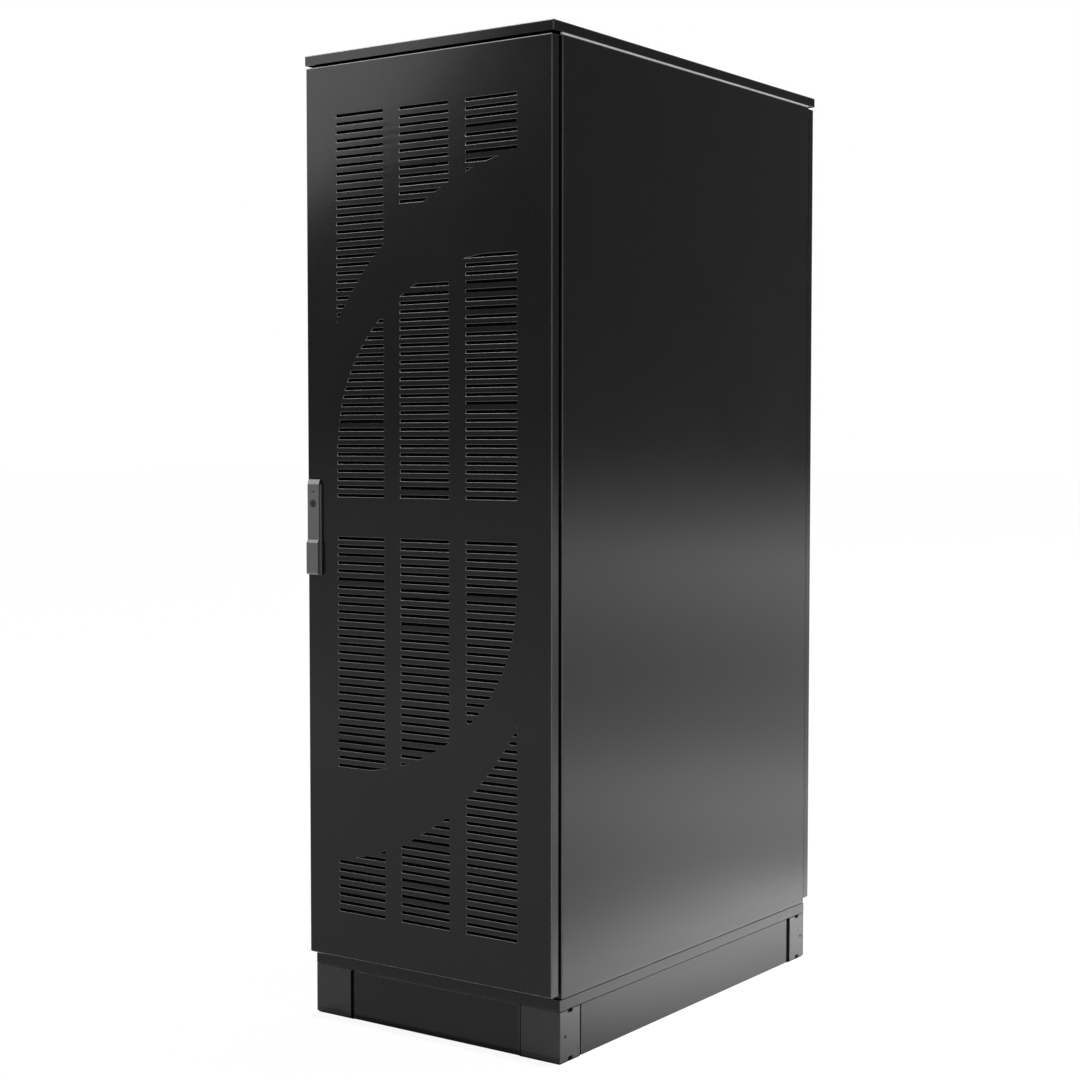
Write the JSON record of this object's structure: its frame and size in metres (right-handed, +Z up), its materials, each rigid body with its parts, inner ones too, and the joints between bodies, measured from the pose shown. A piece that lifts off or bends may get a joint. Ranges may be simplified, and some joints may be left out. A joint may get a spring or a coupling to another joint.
{
  "type": "battery cabinet",
  "caption": "Tall free-standing battery cabinet with a vented hinged door, swing handle, rod lock, removable panels, plinth and shelves of sealed batteries.",
  "frame": {"origin": "on the floor, under the middle of the cabinet's overall width and depth, handle and rear screws included", "axes": "+Z up, +X to the right seen from the front, the door faces -Y"},
  "size_m": [0.6, 1.022, 1.9192],
  "materials": {
    "black_steel": "fine-textured powder coat, black",
    "grey_handle": "die cast, satin dark grey",
    "zinc_steel": "zinc-plated steel",
    "frame_steel": "powder coat, black",
    "hidden_steel": "primer, matt black",
    "black_plastic": "moulded, fine grain",
    "block_case": "moulded, dark grey",
    "block_lid": "moulded, black",
    "brass": "machined",
    "copper": "flat copper bar",
    "insulator": "moulded, red-brown",
    "breaker_case": "moulded, charcoal",
    "toggle_plastic": "moulded, black",
    "seal": "foamed seal",
    "pale_seal": "smooth, white",
    "filter_foam": "open-cell foam"
  },
  "bodies": {
    "cabinet": {"plinth_corner_front_left": "hidden_steel", "plinth_corner_front_right": "hidden_steel", "plinth_corner_rear_left": "hidden_steel", "plinth_corner_rear_right": "hidden_steel", "plinth_covers": "black_plastic", "plinth_screws": "frame_steel", "plinth_trim_front": "black_steel", "plinth_trim_rear": "black_steel", "plinth_trim_left": "black_steel", "plinth_trim_right": "black_steel", "base_cross_rails": "black_steel", "base_side_rails": "black_steel", "post_front_left": "frame_steel", "post_front_right": "frame_steel", "post_rear_left": "frame_steel", "post_rear_right": "frame_steel", "top_cross_rails": "frame_steel", "top_side_rails": "frame_steel", "gland_plate": "zinc_steel", "cable_glands": "black_plastic", "panel_screws": "zinc_steel", "side_panel_left": "black_steel", "side_panel_right": "black_steel", "side_panel_clips": "black_plastic", "rear_panel": "black_steel", "rear_gasket": "seal", "roof_panel": "black_steel", "roof_spacers": "black_plastic", "frame_bolts": "zinc_steel", "roof_seals": "pale_seal", "earth_stud": "brass", "shelf_rails": "zinc_steel", "battery_shelves": "frame_steel", "battery_cases": "block_case", "battery_lids": "block_lid", "battery_terminals": "brass", "link_bars": "copper", "riser_bars": "copper", "breaker_panel": "zinc_steel", "circuit_breaker": "breaker_case", "busbars": "copper", "busbar_insulators": "insulator", "earth_bar": "brass", "hinge_brackets": "zinc_steel"},
    "door": {"door_panel": "black_steel", "door_frame": "frame_steel", "door_filters": "filter_foam", "door_gasket": "seal", "door_hinge_knuckles": "zinc_steel", "hinge_pins": "zinc_steel", "rod_guides": "black_plastic", "lock_housing": "grey_handle", "housing_screws": "zinc_steel"},
    "spindle": {"lock_spindle": "grey_handle", "lever_pin": "zinc_steel"},
    "lever": {"handle_lever": "grey_handle"},
    "key": {"key_plug": "black_plastic"},
    "upper_rod": {"rod_upper": "zinc_steel"},
    "lower_rod": {"rod_lower": "zinc_steel"},
    "toggle": {"breaker_toggle": "toggle_plastic"}
  },
  "joints": [
    {"name": "door_hinge", "type": "hinge", "parent": "cabinet", "child": "door", "pos_m": [0.2856, -0.488, 1.008], "axis": [0, 0, 1], "range_deg": [0, 125]},
    {"name": "handle_turn", "type": "hinge", "parent": "door", "child": "spindle", "pos_m": [-0.2766, -0.499, 1.05], "axis": [0, -1, 0], "range_deg": [0, 90]},
    {"name": "handle_lift", "type": "hinge", "parent": "spindle", "child": "lever", "pos_m": [-0.2766, -0.504, 1.073], "axis": [-1, 0, 0], "range_deg": [0, 30]},
    {"name": "key_turn", "type": "hinge", "parent": "lever", "child": "key", "pos_m": [-0.2766, -0.507, 1.032], "axis": [0, -1, 0], "range_deg": [0, 90]},
    {"name": "rod_upper_slide", "type": "slide", "parent": "door", "child": "upper_rod", "axis": [0, 0, -1], "range_m": [0, 0.0101]},
    {"name": "rod_lower_slide", "type": "slide", "parent": "door", "child": "lower_rod", "axis": [0, 0, 1], "range_m": [0, 0.0101]},
    {"name": "breaker_switch", "type": "hinge", "parent": "cabinet", "child": "toggle", "pos_m": [0, -0.455, 1.73], "axis": [1, 0, 0], "range_deg": [0, 36]}
  ],
  "couplings": [
    {"joint": "rod_upper_slide", "follows": "handle_turn", "m_per_rad": 0.0063662},
    {"joint": "rod_lower_slide", "follows": "handle_turn", "m_per_rad": 0.0063662}
  ]
}
